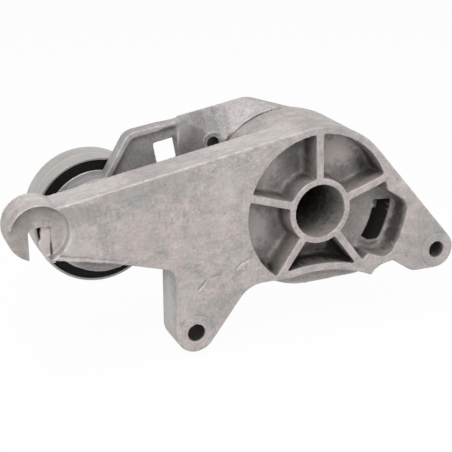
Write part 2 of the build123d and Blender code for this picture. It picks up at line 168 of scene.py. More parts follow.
def parts(tree, vector):
    item = addNode(tree, "ShaderNodeSeparateXYZ")
    join(tree, vector, item.inputs[0])
    return item.outputs
# height of the pulley's ridge, where a painted highlight line runs round it


def objectPlace(tree):
    return addNode(tree, "ShaderNodeTexCoord").outputs["Object"]


def maskOf(tree, label):
    return addNode(tree, "ShaderNodeAttribute", attribute_name=label).outputs["Fac"]


def whiteToCamera(tree, surface, share):
    # the camera and reflections see white there, but it lights the object as the surface itself does
    light = addNode(tree, "ShaderNodeLightPath").outputs
    seen = calc(tree, "MAXIMUM", light["Is Camera Ray"], light["Is Glossy Ray"])
    white = addNode(tree, "ShaderNodeEmission", in_Color=(1, 1, 1, 1), in_Strength=1.0)
    mix = addNode(tree, "ShaderNodeMixShader")
    return feed(tree, mix, times(tree, seen, share), surface, white.outputs[0])


def makeCamera():
    turn = math.radians(view["azimuth"])
    lift = math.radians(view["elevation"])
    right = Vector((math.cos(turn), math.sin(turn), 0))
    back = Vector((math.sin(turn) * math.cos(lift), -math.cos(turn) * math.cos(lift), math.sin(lift)))
    up = back.cross(right)
    place = Vector(view["place"])
    data = bpy.data.cameras.new("camera")
    data.lens = view["lens"]
    data.sensor_width = view["sensor"]
    camera = bpy.data.objects.new("camera", data)
    rows = [(right[i], up[i], back[i], place[i]) for i in range(3)] + [(0, 0, 0, 1)]
    camera.matrix_world = Matrix(rows)
    bpy.context.collection.objects.link(camera)
    bpy.context.scene.camera = camera


def makeLamp(name, place, size, power):
    data = bpy.data.lights.new(name, "AREA")
    data.shape = "DISK"
    data.size = size
    data.energy = power
    lamp = bpy.data.objects.new(name, data)
    lamp.location = place
    lamp.rotation_euler = (-Vector(place)).to_track_quat("-Z", "Y").to_euler()
    bpy.context.collection.objects.link(lamp)


def makeFloor():
    low = cadBounds[0][2] - studio["floorDrop"]
    bpy.ops.mesh.primitive_plane_add(size=studio["floorSize"], location=(0, 0, low))
    floor = bpy.context.object
    floor.name = "floor"
    material = bpy.data.materials.new("paleFloor")
    material.use_nodes = True
    tree = material.node_tree
    shader = tree.nodes["Principled BSDF"]
    shader.inputs["Base Color"].default_value = studio["floorColour"]
    shader.inputs["Roughness"].default_value = studio["floorRough"]
    surface = whiteToCamera(tree, shader.outputs[0], studio["floorWhite"])
    join(tree, surface, tree.nodes["Material Output"].inputs[0])
    floor.data.materials.append(material)


def makeStudio():
    makeFloor()
    world = bpy.data.worlds.new("studio")
    world.use_nodes = True
    bpy.context.scene.world = world
    tree = world.node_tree
    shade = tree.nodes["Background"]
    feed(tree, shade, (1, 1, 1, 1), studio["worldLight"])
    join(tree, whiteToCamera(tree, shade.outputs[0], 1.0), tree.nodes["World Output"].inputs[0])
    for name, lamp in studio["lamps"].items():
        makeLamp(name, lamp["place"], lamp["size"], lamp["power"])
    bpy.context.scene.view_settings.view_transform = "Standard"


# Skins: each puts out a colour, a roughness and a height that change over the surface
skinOutputs = [
    ("Colour", "NodeSocketColor"),
    ("Roughness", "NodeSocketFloat"),
    ("Height", "NodeSocketFloat"),
]


def newGroup(name, inputs, outputs):
    tree = bpy.data.node_groups.new(name, "ShaderNodeTree")
    for label, value in inputs.items():
        kind = "NodeSocketColor" if isinstance(value, tuple) else "NodeSocketFloat"
        socket = tree.interface.new_socket(name=label, in_out="INPUT", socket_type=kind)
        socket.default_value = value
    for label, kind in outputs:
        tree.interface.new_socket(name=label, in_out="OUTPUT", socket_type=kind)
    return tree, tree.nodes.new("NodeGroupInput").outputs, tree.nodes.new("NodeGroupOutput").inputs


castInputs = {
    "Warm": (0.50, 0.44, 0.42, 1),
    "Cool": (0.42, 0.43, 0.45, 1),
    "Light": (0.66, 0.64, 0.62, 1),
    "DarkTone": (0.07, 0.063, 0.055, 1),
    "Mottle": 0.5,
    "Speck": 0.5,
    "Edge": 0.5,
    "ShadeAndSoot": 0.5,
}
# noises are scale, detail and roughness, and for some a stretch and a turn
castNoise = {
    "clouds": (42, 5, 0.62),
    "blotches": (150, 4, 0.60),
    "flow": (120, 6, 0.66, (0.8, 1, 1.25), (0, 0.35, 0)),
    "grain": (560, 4, 0.66),
    "fine": (1500, 3, 0.65),
    "streaks": (900, 3, 0.6, (0.05, 0.6, 1)),
}
# small spots, one to a cell: each cell draws two lots, and holds a dark pit where the first is above
# pitFrom, and a bright nick where the second is above nickFrom
castSpots = {
    "scale": 430.0,
    "core": 0.10,
    "rim": 0.27,
    "pitFrom": 0.93,
    "pitShare": 0.5,
    "nickFrom": 0.91,
    "nickShare": 0.55,
}
# how shut in a point must be before it takes painted shade with soot, and how much its corners add
castShadeAndSoot = {"from": 0.14, "full": 0.74, "power": 1.6, "corners": 0.22}


def makeCastSkin():
    # cloudy tint, flow marks, specks and fine grain of a die-cast skin, burnished on its edges with a
    # painted highlight, upward faces in streaks with a painted top light, and painted shade with some
    # soot in its hollows and corners
    tree, given, result = newGroup("castSkin", castInputs, skinOutputs)
    place = objectPlace(tree)
    noises = [cloud(tree, place, *form) for form in castNoise.values()]
    clouds, blotches, flow, grain, fine, streaks = noises
    tone = weighted(tree, (clouds, 0.5), (flow, 0.5))
    tint = mixColour(tree, remap(tree, tone, 0.40, 0.60, smooth=True), given["Cool"], given["Warm"])
    # light and dark patches, and grain
    patches = plus(tree, swing(tree, blotches, -0.17, 0.15), swing(tree, flow, -0.08, 0.08))
    specks = plus(tree, swing(tree, grain, -0.20, 0.20), swing(tree, fine, -0.12, 0.12))
    shade = plus(tree, weighted(tree, (patches, given["Mottle"]), (specks, given["Speck"])), 1.0)
    grey = addNode(tree, "ShaderNodeCombineColor")
    colour = mixColour(tree, 1.0, tint, feed(tree, grey, shade, shade, shade), "MULTIPLY")
    # pits and bright nicks
    cells = addNode(tree, "ShaderNodeTexVoronoi", in_Scale=castSpots["scale"])
    join(tree, place, cells.inputs["Vector"])
    lots = parts(tree, cells.outputs["Color"])
    distance = cells.outputs["Distance"]
    near = remap(tree, distance, castSpots["core"], castSpots["rim"], 1.0, 0.0, smooth=True)
    pit = times(tree, near, calc(tree, "GREATER_THAN", lots[0], castSpots["pitFrom"]))
    nick = times(tree, near, calc(tree, "GREATER_THAN", lots[1], castSpots["nickFrom"]))
    dark = times(tree, pit, given["Speck"], castSpots["pitShare"])
    bright = times(tree, nick, given["Speck"], castSpots["nickShare"])
    colour = mixColour(tree, dark, colour, given["DarkTone"])
    colour = mixColour(tree, bright, colour, given["Light"])
    # burnished edges, partly a painted highlight
    broken = remap(tree, weighted(tree, (grain, 0.5), (blotches, 1.0)), 0.62, 0.86, 0.3, 1.0)
    lift = times(tree, maskOf(tree, "edgeWearAndHighlightMask"), broken, given["Edge"])
    colour = mixColour(tree, lift, colour, given["Light"])
    # upward faces rubbed bright in streaks along X, partly a painted top light
    rubAndTopLight = times(tree, maskOf(tree, "streakAndTopLightMask"), remap(tree, streaks, 0.35, 0.65, 0.2, 0.85))
    colour = mixColour(tree, rubAndTopLight, colour, given["Light"])
    # painted shade in the hollows and corners, with some dull grey soot, in the dark tone
    shut = plus(tree, maskOf(tree, "hollowShadeMask"), swing(tree, blotches, -0.07, 0.07))
    shadeAndSoot = remap(tree, shut, castShadeAndSoot["from"], castShadeAndSoot["full"])
    shadeAndSoot = calc(tree, "POWER", shadeAndSoot, castShadeAndSoot["power"])
    shadeAndSoot = weighted(tree, (shadeAndSoot, 1.0), (maskOf(tree, "cornerShadeMask"), castShadeAndSoot["corners"]))
    shadeAndSoot = times(tree, shadeAndSoot, given["ShadeAndSoot"], clamp=True)
    join(tree, mixColour(tree, shadeAndSoot, colour, given["DarkTone"]), result["Colour"])
    rough = plus(tree, swing(tree, blotches, 0.48, 0.62), times(tree, shadeAndSoot, 0.15))
    join(tree, rough, result["Roughness"])
    height = weighted(tree, (grain, 0.55), (fine, 0.3), (flow, 0.7), (pit, -0.45), (nick, 0.25))
    join(tree, height, result["Height"])
    return tree


turnedInputs = {
    "Colour": (0.5, 0.48, 0.47, 1),
    "Light": (0.7, 0.69, 0.68, 1),
    "DarkTone": (0.1, 0.095, 0.09, 1),
    "Centre X": 0.0,
    "Centre Z": 0.0,
    "Marks": 0.5,
    "Stain": 0.5,
    "Highlight At": 1.0,
}
turnedNoise = {
    "rings": (2600, 3, 0.7),
    "bands": (420, 3, 0.6),
    "stains": (90, 5, 0.65),
    "grain": (900, 3, 0.6),
}
# a painted highlight line: its full core, its fading edge and its share
ringHighlight = {"core": 0.2 * mm, "edge": 0.8 * mm, "share": 0.75}


def makeTurnedSkin():
    # turning marks round an axis along Y, stains, and a painted highlight line round one height of the
    # axis
    tree, given, result = newGroup("turnedSkin", turnedInputs, skinOutputs)
    place = objectPlace(tree)
    axes = parts(tree, place)
    across = calc(tree, "SUBTRACT", axes[0], given["Centre X"])
    upright = calc(tree, "SUBTRACT", axes[2], given["Centre Z"])
    radius = calc(tree, "SQRT", weighted(tree, (across, across), (upright, upright)))
    ringPlace = feed(tree, addNode(tree, "ShaderNodeCombineXYZ"), radius, axes[1])
    rings = cloud(tree, ringPlace, *turnedNoise["rings"])
    bands = cloud(tree, ringPlace, *turnedNoise["bands"])
    stains = cloud(tree, place, *turnedNoise["stains"])
    grain = cloud(tree, place, *turnedNoise["grain"])
    marks = plus(tree, swing(tree, rings, -0.5, 0.5), swing(tree, bands, -0.5, 0.5))
    marks = times(tree, marks, given["Marks"])
    bright = remap(tree, marks, -0.6, 0.6, 0.0, 0.45)
    colour = mixColour(tree, bright, given["Colour"], given["Light"])
    away = calc(tree, "ABSOLUTE", calc(tree, "SUBTRACT", axes[1], given["Highlight At"]))
    core, edge, share = ringHighlight.values()
    line = remap(tree, away, core, edge, share, 0.0, smooth=True)
    colour = mixColour(tree, line, colour, given["Light"])
    blots = remap(tree, stains, 0.42, 0.72, 0.0, 0.6)
    dull = plus(tree, blots, remap(tree, grain, 0.55, 0.8, 0.0, 0.5))
    dull = times(tree, dull, given["Stain"], clamp=True)
    join(tree, mixColour(tree, dull, colour, given["DarkTone"]), result["Colour"])
    rough = remap(tree, plus(tree, stains, bands), 0.7, 1.3, 0.28, 0.46)
    join(tree, rough, result["Roughness"])
    join(tree, weighted(tree, (grain, 0.3), (marks, 1.0)), result["Height"])
    return tree


mouldedInputs = {
    "Colour": (0.015, 0.015, 0.016, 1),
    "Dust": (0.20, 0.19, 0.18, 1),
    "Grain": 0.5,
    "Wear": 0.5,
}
mouldedNoise = {
    "grain": (1500, 3, 0.6),
    "film": (120, 5, 0.66),
    "scuffs": (330, 4, 0.7, (0.2, 1, 1), (0.3, 0.5, 0.2)),
}


def makeMouldedSkin():
    # fine grain, handling scuffs and pale dust of moulded plastic and rubber
    tree, given, result = newGroup("mouldedSkin", mouldedInputs, skinOutputs)
    place = objectPlace(tree)
    grain, film, scuffs = [cloud(tree, place, *form) for form in mouldedNoise.values()]
    rubbed = remap(tree, scuffs, 0.60, 0.72, 0.0, 0.3)
    dust = plus(tree, remap(tree, film, 0.48, 0.75, 0.0, 0.35), rubbed)
    dust = times(tree, dust, given["Wear"], clamp=True)
    join(tree, mixColour(tree, dust, given["Colour"], given["Dust"]), result["Colour"])
    rough = remap(tree, plus(tree, film, scuffs), 0.8, 1.25, 0.42, 0.68)
    join(tree, rough, result["Roughness"])
    join(tree, times(tree, grain, given["Grain"]), result["Height"])
    return tree


patchInputs = {"X": 0.0, "Y": 0.0, "Z": 0.0, "Wide": 0.01, "Deep": 0.01, "Tall": 0.01}
# full and gone are shares of the patch's reach, and ragged moves its edge by as much each way
patchForm = {"noise": (260, 4, 0.65), "ragged": 0.35, "full": 0.45, "gone": 1.15}


def makeSoftPatch():
    # an uneven oval patch round a place
    tree, given, result = newGroup("softPatch", patchInputs, [("Mask", "NodeSocketFloat")])
    place = objectPlace(tree)
    squares = []
    for axis, middle, reach in zip(parts(tree, place), ("X", "Y", "Z"), ("Wide", "Deep", "Tall")):
        share = calc(tree, "DIVIDE", calc(tree, "SUBTRACT", axis, given[middle]), given[reach])
        squares.append((share, share))
    noise = cloud(tree, place, *patchForm["noise"])
    ragged = swing(tree, noise, -patchForm["ragged"], patchForm["ragged"])
    away = plus(tree, calc(tree, "SQRT", weighted(tree, *squares)), ragged)
    mask = remap(tree, away, patchForm["full"], patchForm["gone"], 1.0, 0.0, smooth=True)
    join(tree, mask, result["Mask"])
    return tree


softPatch = makeSoftPatch()
castSkin = makeCastSkin()
turnedSkin = makeTurnedSkin()
mouldedSkin = makeMouldedSkin()
plainShine = 0.5  # the specular level that a shader has by itself


def skinMaterial(name, group, finish):
    # finish holds the group's inputs by their names, and the constants of the shader itself
    material = bpy.data.materials.new(name)
    material.use_nodes = True
    tree = material.node_tree
    shader = tree.nodes["Principled BSDF"]
    shader.inputs["Metallic"].default_value = finish["metal"]
    shader.inputs["Specular IOR Level"].default_value = finish.get("shine", plainShine)
    skin = addNode(tree, "ShaderNodeGroup", node_tree=group)
    for label, value in finish["skin"].items():
        skin.inputs[label].default_value = (*value, 1) if isinstance(value, tuple) else value
    colour = skin.outputs["Colour"]
    for mark in finish.get("marks", []):
        patch = addNode(tree, "ShaderNodeGroup", node_tree=softPatch)
        for label, value in zip(patchInputs, mark["place"] + mark["reach"]):
            patch.inputs[label].default_value = value * mm
        share = times(tree, patch.outputs["Mask"], mark["share"])
        colour = mixColour(tree, share, colour, (*mark["tone"], 1))
    join(tree, colour, shader.inputs["Base Color"])
    join(tree, skin.outputs["Roughness"], shader.inputs["Roughness"])
    relief = finish["relief"] * mm
    bump = addNode(tree, "ShaderNodeBump", in_Strength=finish["bump"], in_Distance=relief)
    join(tree, skin.outputs["Height"], bump.inputs["Height"])
    join(tree, bump.outputs[0], shader.inputs["Normal"])
    return material


# Castings
bracketFinish = {
    "metal": 0.32,
    "bump": 0.5,
    "relief": 0.22,
    "skin": {
        "Warm": (0.465, 0.405, 0.39),
        "Cool": (0.375, 0.36, 0.348),
        "Light": (0.66, 0.62, 0.60),
        "DarkTone": (0.030, 0.027, 0.023),
        "Mottle": 1.0,
        "Speck": 1.0,
        "Edge": 0.4,
        "ShadeAndSoot": 1.0,
    },
}
armTones = {"Warm": (0.375, 0.342, 0.335), "Cool": (0.32, 0.312, 0.308), "Mottle": 0.9}
armFinish = dict(bracketFinish, skin=dict(bracketFinish["skin"], **armTones))
castForm = {
    "voxel": 0.6 * mm,
    "smoothSteps": 3,
    "smoothPull": 0.5,
    "triangles": 190000,
    "edgeReach": 1,
    "edgeGain": 7.0,
    "cornerGain": 7.0,
    "hollowReach": 45 * mm,
    "hollowRays": 14,
    "hollowSmooth": 2,
    "rayStart": 0.2 * mm,
    "rayTurn": 2.39996,  # the golden angle, which spreads the rays evenly
    "upwardFrom": 0.8,  # how far a face must look up before it wears bright and takes a painted top light
    "upwardSpan": 0.15,
}
# in shares of a softened place's reach: points nearer than near take part, and the pull ends at edge
softenForm = {"near": 1.3, "edge": 1.2, "pull": 0.7}


def arcPoints(x, z, radius, turns):
    return [(x + radius * math.cos(turn), z + radius * math.sin(turn)) for turn in turns]


def ringPath(x, z, radius, steps=40):
    turns = [2 * math.pi * step / steps for step in range(steps + 1)]
    return [(px, 0, pz) for px, pz in arcPoints(x, z, radius, turns)]


def sectorCorners(x, z, inner, outer, low, high, steps=12):
    turns = [math.radians(low + (high - low) * step / steps) for step in range(steps + 1)]
    return arcPoints(x, z, outer, turns) + arcPoints(x, z, inner, turns[::-1])


# where the recess floor's corners lie; below lowest and in the pocket none is softened
recess = {
    "floor": 16.0,
    "rings": (20.6, 45.9),
    "ringSteps": 80,
    "spokes": 5,
    "firstSpoke": 20,
    "spokeStart": 21.0,
    "spokeStep": 2.2,
    "spokeSteps": 12,
    "spokeSide": 3.3,
    "lowest": -34,
    "pocket": {"left": 30, "low": -32, "high": 4},
}


def recessCorners():
    # points along the corners between the recess floor, its walls, the hub and the spokes
    turns = [math.radians(360 * step / recess["ringSteps"]) for step in range(recess["ringSteps"])]
    spots = [spot for radius in recess["rings"] for spot in arcPoints(0, 0, radius, turns)]
    for spoke in range(recess["spokes"]):
        turn = math.radians(recess["firstSpoke"] + 360 * spoke / recess["spokes"])
        for step in range(recess["spokeSteps"]):
            along = recess["spokeStart"] + step * recess["spokeStep"]
            for side in (-recess["spokeSide"], recess["spokeSide"]):
                x = along * math.cos(turn) - side * math.sin(turn)
                z = along * math.sin(turn) + side * math.cos(turn)
                spots.append((x, z))
    pocket = recess["pocket"]
    return [
        (x, recess["floor"], z)
        for x, z in spots
        if z > recess["lowest"] and not (x > pocket["left"] and pocket["low"] < z < pocket["high"])
    ]


# rings on the bracket's face
hookSeat = {"x": -164.3, "z": 7.2, "radius": 15.5}
upperEar = {"x": 83.4, "z": -35.5, "radius": 11.2}
lowerEar = {"x": -78.2, "z": -63.9, "radius": 11.2}
fileMarks = {
    "places": (-97.2, -95.9, -94.4, -93.2, -91.6),
    "edge": (-97, -33),
    "slope": -0.6,
    "bottom": -53,
    "lean": -0.4,
    "width": 1.0,
    "height": -0.4,
}


def stroke(width, height, *path):
    return {"width": width, "height": height, "path": path}


def fileMark(x):
    # from the plate's slanted edge down, leaning a little
    edgeX, edgeZ = fileMarks["edge"]
    top = (x, 0, edgeZ + fileMarks["slope"] * (x - edgeX))
    bottom = (x + fileMarks["lean"], 0, fileMarks["bottom"])
    return stroke(fileMarks["width"], fileMarks["height"], top, bottom)


# Small forms of the castings, in mm. Moves shift the solid's corners inside a box, fills are closed
# prisms along Y, and strokes run along the surface, cutting where their height is below 0. Soften
# rounds places off. Two kinds of boxes fade to nothing at their sides: the first paints shade into
# hollows, or takes painted shade away where its gain is below 0, and the second lets upward faces
# wear bright in streaks, partly as a painted top light. Marks are soft patches: round a place, as far
# as reach, they take their share of the colour for their tone; some are tone and stains, some painted
# light and shade.
bracketForms = {
    "moves": [
        {"low": (-158.5, -1, -13), "high": (-150, 25, -10), "shift": (0, 0, 2.0)},  # plate's corner
        {"low": (-182, 8.9, -30), "high": (-148, 9.1, 25), "shift": (0, -3.0, 0)},  # seat's floor
    ],
    "fills": [
        {  # lower right corner of the hook seat
            "front": 0.0,
            "back": 9.0,
            "corners": [
                (-151.4, -1.3), (-152.7, -3.1), (-154.3, -4.7), (-156.2, -6.0), (-158.0, -6.9),
                (-159.8, -7.6), (-159.4, -8.3), (-156.9, -8.2), (-152.2, -9.0), (-148.0, -9.9),
                (-148.0, -1.3),
            ],
        },
        {  # thin web behind the slot
            "front": 8.0,
            "back": 10.6,
            "corners": [
                (-162.2, 9.0), (-162.7, 5.5), (-162.7, 1.8), (-163.9, 1.1), (-164.6, -0.2),
                (-163.8, -3.0), (-162.4, -5.9), (-161.0, -8.6), (-159.6, -10.9), (-157.8, -12.2),
                (-155.0, -12.2), (-155.0, 9.0),
            ],
        },
        {  # upper corner of the stop pocket
            "front": 0.6,
            "back": 16.5,
            "corners": [
                (43.6, 13.1), (59.4, 1.1), (59.7, -4.0), (57.9, -1.2), (56.5, 0.9),
                (54.3, 2.6), (50.3, 4.6), (46.6, 6.6), (44.8, 10.1),
            ],
        },
    ],
    "strokes": [
        # two grooves over the lower left edge
        stroke(1.5, -0.8, (-154.5, 0, -5.9), (-149.0, 0, -7.4), (-141.0, 0, -8.9)),
        stroke(1.3, -0.5, (-141.0, 0, -8.9), (-130.0, 0, -11.4), (-121.0, 0, -13.4)),
        # three dents
        stroke(1.3, -0.9, (-76.5, 0, -37.1), (-74.5, 0, -35.4), (-72.8, 0, -33.0)),
        stroke(1.2, -0.4, (-69.4, 0, -31.1), (-66.0, 0, -30.4), (-63.3, 0, -30.4)),
        stroke(1.1, -0.7, (-53.7, 0, -27.8), (-50.3, 0, -24.9), (-46.3, 0, -23.5)),
        # ridge on the drum, and burr in the stop window
        stroke(1.0, 0.3, (-32.5, 20, 59.4), (-17.9, 20, 57.1), (-3.6, 20, 55.0)),
        stroke(1.4, 0.8, (45.0, 16, -5.6), (45.6, 16, -8.6)),
        stroke(1.1, -0.35, *ringPath(**upperEar)),
        stroke(1.1, -0.25, *ringPath(**lowerEar)),
        *[fileMark(x) for x in fileMarks["places"]],
    ],
    "soften": [
        {"place": (59.0, 0, -1.8), "reach": 5.0, "steps": 30},
        {"path": recessCorners(), "reach": 6.0, "steps": 26},
        {"path": ringPath(**hookSeat)[-12:], "reach": 2.6, "steps": 10},  # its lower right quarter
        {"place": (-91.0, 0, -34.5), "reach": 7.0, "steps": 40},
    ],
    "paintedShade": [
        # painted shade: black in the stop window's chamber, dark in the two ear holes, and taken away
        # in the slot and the hook seat where the gain is below 0
        {"low": (28, 17.5, -40), "high": (64, 50, 4), "gain": 1.2, "fade": 0.1},
        {"low": (76, 1, -43), "high": (90.5, 40, -28), "gain": 1.0, "fade": 2},
        {"low": (-85.5, 1, -71), "high": (-71, 40, -56.5), "gain": 1.0, "fade": 2},
        {"low": (-170, 7, -20), "high": (-150, 28, 8), "gain": -0.9, "fade": 0.5},
        {"low": (-158, 0.1, -10), "high": (-146, 7, 18), "gain": -0.7, "fade": 0.5},
    ],
    # upward faces of the plate's top rim: rubbed streaks and a painted top light
    "streakAndTopLight": [{"low": (-190, -3, 12), "high": (-10, 30, 70), "gain": 1.0, "fade": 12}],
    "marks": [
        # hub bore: painted shade with some oil; recess floor: painted light in three patches, painted
        # shade near the hub and spokes
        {"place": (0, 40, 0), "reach": (24, 34, 24), "tone": (0.012, 0.011, 0.010), "share": 0.7},
        {"place": (-32, 16, 24), "reach": (14, 5, 14), "tone": (0.64, 0.57, 0.55), "share": 0.5},
        {"place": (18, 16, 32), "reach": (15, 5, 12), "tone": (0.64, 0.56, 0.55), "share": 0.5},
        {"place": (-37, 16, -10), "reach": (12, 5, 14), "tone": (0.60, 0.57, 0.55), "share": 0.45},
        {"place": (-8, 13, 25), "reach": (11, 7, 11), "tone": (0.10, 0.09, 0.08), "share": 0.5},
        {"place": (37, 12, 18), "reach": (10, 7, 10), "tone": (0.06, 0.05, 0.045), "share": 0.6},
        {"place": (-20, 13, -12), "reach": (9, 7, 11), "tone": (0.10, 0.09, 0.08), "share": 0.45},
        # painted shade on the wall of the stop pocket
        {"place": (57, 8.5, -18), "reach": (12, 7.5, 24), "tone": (0.035, 0.031, 0.028), "share": 0.75},
        # slot, ear's leg and hook seat: painted light on the web behind the slot and on the seat's
        # right side, a painted shadow line along the slot's step that also stands for a crack, a
        # lighter ear's leg, darker grey on the seat's left lobe and top, and a pink tint
        {"place": (-160, 9, -2), "reach": (8, 4, 16), "tone": (0.62, 0.55, 0.53), "share": 0.6},
        {"place": (-157.6, 7.2, -5), "reach": (0.9, 1.6, 9), "tone": (0.06, 0.05, 0.045), "share": 1.0},
        {"place": (-149.6, 3, 3), "reach": (3.5, 6, 15), "tone": (0.60, 0.59, 0.56), "share": 0.5},
        {"place": (-92, 14, -48), "reach": (6, 13, 24), "tone": (0.62, 0.60, 0.57), "share": 0.6},
        {"place": (-173, 6, 6), "reach": (9, 5, 17), "tone": (0.21, 0.21, 0.195), "share": 0.5},
        {"place": (-164, 6, 17), "reach": (10, 5, 7), "tone": (0.23, 0.23, 0.21), "share": 0.4},
        {"place": (-153, 6, 2), "reach": (5, 5, 13), "tone": (0.44, 0.38, 0.37), "share": 0.35},
        # plate and front edges
        {"place": (18, 0, 52), "reach": (38, 6, 9), "tone": (0.31, 0.30, 0.29), "share": 0.5},
        {"place": (76, 0, -30), "reach": (18, 8, 22), "tone": (0.31, 0.295, 0.285), "share": 0.5},
        {"place": (-92, 0, 28), "reach": (16, 5, 12), "tone": (0.29, 0.295, 0.275), "share": 0.4},
        {"place": (-60, 0, 20), "reach": (10, 5, 18), "tone": (0.50, 0.485, 0.475), "share": 0.35},
        {"place": (-142, 0, 16), "reach": (17, 5, 7), "tone": (0.25, 0.25, 0.235), "share": 0.45},
        {"place": (-118, 0, 24), "reach": (22, 5, 8), "tone": (0.26, 0.255, 0.24), "share": 0.35},
        {"place": (-144, 0, -3), "reach": (9, 5, 10), "tone": (0.52, 0.49, 0.46), "share": 0.4},
        {"place": (-112, 0, 2), "reach": (22, 5, 14), "tone": (0.50, 0.42, 0.41), "share": 0.3},
        {"place": (-75, 0, -4), "reach": (20, 5, 12), "tone": (0.50, 0.43, 0.42), "share": 0.3},
        {"place": (-84, 0, -42), "reach": (9, 5, 16), "tone": (0.52, 0.48, 0.46), "share": 0.35},
        {"place": (-62, 0, -52), "reach": (10, 5, 16), "tone": (0.30, 0.29, 0.28), "share": 0.3},
        {"place": (62, 0, -12), "reach": (9, 5, 16), "tone": (0.50, 0.43, 0.42), "share": 0.3},
    ],
}
armForms = {
    "moves": [],
    "fills": [
        # lower part of the round end's recess
        {"front": 34.6, "back": 40.0, "corners": sectorCorners(-121.5, -3.5, 16.0, 26.0, 205, 335)},
    ],
    "strokes": [
        # raised lip round the lug, then along the seam
        stroke(
            1.5, 0.7,
            (-55.4, 47.2, 34.5), (-54.2, 47.2, 39.0), (-50.3, 47.2, 41.3),
            (-46.5, 47.2, 41.1), (-42.3, 47.2, 40.0),
        ),
        stroke(
            1.3, 0.6,
            (-42.3, 47.6, 40.0), (-38.2, 48.0, 40.4), (-28.8, 48.4, 45.5),
            (-18.0, 48.6, 50.2), (-11.0, 48.6, 51.7),
        ),
    ],
    "soften": [
        {"place": (-75.5, 36, 52.0), "reach": 10.0, "steps": 60},
        {"place": (-69.0, 40, 46.0), "reach": 7.0, "steps": 30},
    ],
    # painted shade: black in the arm behind the stop window
    "paintedShade": [{"low": (20, 16, -48), "high": (62, 50, 8), "gain": 2.0, "fade": 2}],
    "streakAndTopLight": [],
    "marks": [
        {"place": (-70, 42, 38), "reach": (8, 8, 12), "tone": (0.20, 0.195, 0.185), "share": 0.4},
        {"place": (-96, 40, 40), "reach": (12, 8, 18), "tone": (0.22, 0.215, 0.21), "share": 0.3},
        # painted bluish reflection and shade on the arm's round disc
        {"place": (-121, 38, 18), "reach": (20, 8, 14), "tone": (0.25, 0.26, 0.29), "share": 0.4},
        {"place": (-30, 40, 58), "reach": (24, 26, 8), "tone": (0.28, 0.27, 0.265), "share": 0.4},
        {"place": (-52, 30, 56), "reach": (12, 20, 9), "tone": (0.26, 0.245, 0.24), "share": 0.4},
        {"place": (-68, 35, 44), "reach": (10, 8, 8), "tone": (0.52, 0.48, 0.46), "share": 0.4},
    ],
}


def readValues(items, label, kind, width):
    values = np.empty(len(items) * width, kind)
    items.foreach_get(label, values)
    return values.reshape(-1, width)


def pointsOf(mesh):
    return readValues(mesh.vertices, "co", np.float32, 3)


def normalsOf(mesh):
    return readValues(mesh.vertices, "normal", np.float32, 3)


def edgesOf(mesh):
    return readValues(mesh.edges, "vertices", np.int32, 2)


def putPoints(mesh, points):
    mesh.vertices.foreach_set("co", points.astype(np.float32).ravel())
    mesh.update()


def neighbourCount(edges, size):
    return np.maximum(np.bincount(edges.ravel(), minlength=size), 1)


def neighbourMean(values, edges, count):
    total = np.bincount(edges[:, 0], values[edges[:, 1]], len(values))
    total += np.bincount(edges[:, 1], values[edges[:, 0]], len(values))
    return total / count


def neighbourMiddle(points, edges, count):
    return np.stack([neighbourMean(points[:, axis], edges, count) for axis in range(3)], axis=1)


def evened(values, edges, steps):
    count = neighbourCount(edges, len(values))
    for step in range(steps):
        values = (values + neighbourMean(values, edges, count)) / 2
    return values


def bendOf(mesh, cell):
    # above 0 where the surface stands proud of its neighbours, below 0 in corners
    points, edges = pointsOf(mesh), edgesOf(mesh)
    middle = neighbourMiddle(points, edges, neighbourCount(edges, len(points)))
    proud = ((points - middle) * normalsOf(mesh)).sum(axis=1) / cell
    return evened(proud, edges, castForm["edgeReach"])


def hollowOf(piece):
    # share of the view outward from each point that its own piece shuts off, which sets how much
    # painted shade the point takes
    points, normals = pointsOf(piece.data), normalsOf(piece.data)
    tree = BVHTree.FromObject(piece, bpy.context.evaluated_depsgraph_get())
    # two ways at right angles to each normal
    side = np.cross(normals, np.where(np.abs(normals[:, :1]) < 0.7, (1.0, 0, 0), (0, 1.0, 0)))
    side /= np.linalg.norm(side, axis=1)[:, None]
    other = np.cross(normals, side)
    starts = [Vector(row) for row in points + normals * castForm["rayStart"]]
    reach, rays = castForm["hollowReach"], castForm["hollowRays"]
    shut = np.zeros(len(points))
    for ray in range(rays):
        lift = math.sqrt(1 - (ray + 0.5) / rays)
        flat, turn = math.sqrt(1 - lift * lift), ray * castForm["rayTurn"]
        ways = normals * lift + (side * math.cos(turn) + other * math.sin(turn)) * flat
        for index, way in enumerate(ways.tolist()):
            distance = tree.ray_cast(starts[index], way, reach)[3]
            if distance is not None:
                shut[index] += 1 - (distance / reach) ** 2
    return evened(shut / rays, edgesOf(piece.data), castForm["hollowSmooth"])


def insideBoxes(points, boxes):
    # full inside a box, fading to nothing at its sides
    found = np.zeros(len(points))
    for box in boxes:
        room = np.minimum(points - np.array(box["low"]) * mm, np.array(box["high"]) * mm - points)
        within = np.clip(room.min(axis=1) / (box["fade"] * mm), 0, 1)
        found += within * box["gain"]
    return found


def addFills(form, fills):
    # closed prisms that the remesh joins to the casting
    for fill in fills:
        front, back = [
            [form.verts.new((x * mm, depth * mm, z * mm)) for x, z in fill["corners"]]
            for depth in (fill["front"], fill["back"])
        ]
        faces = [form.faces.new(front), form.faces.new(back[::-1])]
        for i in range(len(front)):
            faces.append(form.faces.new((front[i - 1], back[i - 1], back[i], front[i])))
        bmesh.ops.recalc_face_normals(form, faces=faces)


